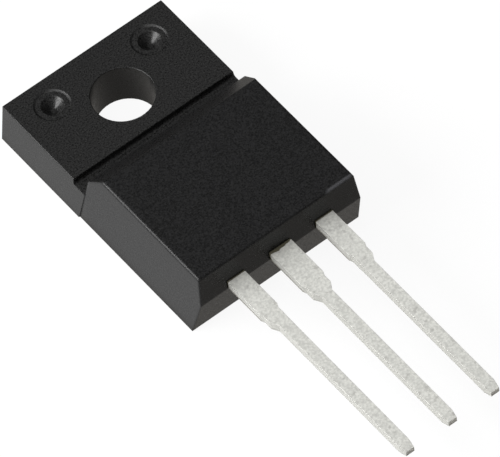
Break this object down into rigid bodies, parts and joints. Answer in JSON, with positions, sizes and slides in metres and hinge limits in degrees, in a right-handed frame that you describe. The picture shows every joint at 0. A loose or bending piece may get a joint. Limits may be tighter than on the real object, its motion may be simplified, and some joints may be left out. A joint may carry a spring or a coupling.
{
  "type": "power transistor",
  "caption": "Fully moulded through-hole power transistor: black epoxy body with a screw tab, and straight tinned leads that leave one end in a row.",
  "frame": {"origin": "centre of the mounting hole, on the back face that lies on the heat sink", "axes": "+Z out of the front face along the mounting hole, -Y along the leads towards their tips, +X across the width, towards the emitter lead"},
  "size_m": [0.0102, 0.029, 0.0045],
  "materials": {
    "black_epoxy": "fine matte mould grain",
    "tinned_copper": "matte tin plating",
    "silicon": "polished, under the moulding",
    "solder": "dull, under the moulding",
    "aluminium_wire": "drawn, under the moulding"
  },
  "bodies": {
    "root": {"molded_body": "black_epoxy", "collector_lead_frame": "tinned_copper", "base_lead": "tinned_copper", "emitter_lead": "tinned_copper", "silicon_die": "silicon", "die_solder": "solder", "base_wire": "aluminium_wire", "emitter_wire_inner": "aluminium_wire", "emitter_wire_outer": "aluminium_wire"}
  },
  "joints": []
}
